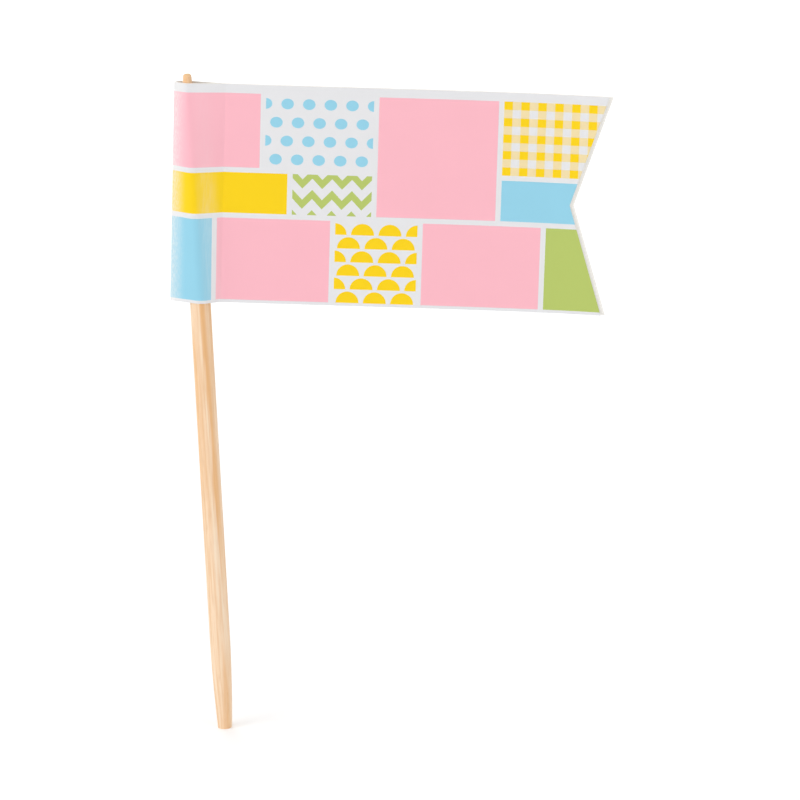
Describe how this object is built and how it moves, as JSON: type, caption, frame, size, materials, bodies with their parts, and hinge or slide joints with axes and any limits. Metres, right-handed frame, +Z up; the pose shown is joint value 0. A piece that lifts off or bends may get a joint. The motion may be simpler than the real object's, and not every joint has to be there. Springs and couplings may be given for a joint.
{
  "type": "cocktail pick",
  "caption": "Flag cocktail pick: a round wooden stick, pointed at both ends, with a folded swallowtail paper flag glued round its upper end.",
  "frame": {"origin": "centre of the lower point's end face, on the stick's axis, where the pick goes into the food", "axes": "+Z up along the stick, +X the way the flag flies, -Y the way its front leaf faces"},
  "size_m": [0.0434, 0.0024, 0.07],
  "materials": {
    "wood": "matte",
    "printed_paper": "satin",
    "adhesive": "satin"
  },
  "bodies": {
    "root": {"stick": "wood", "flag": "printed_paper", "adhesive": "adhesive"}
  },
  "joints": []
}
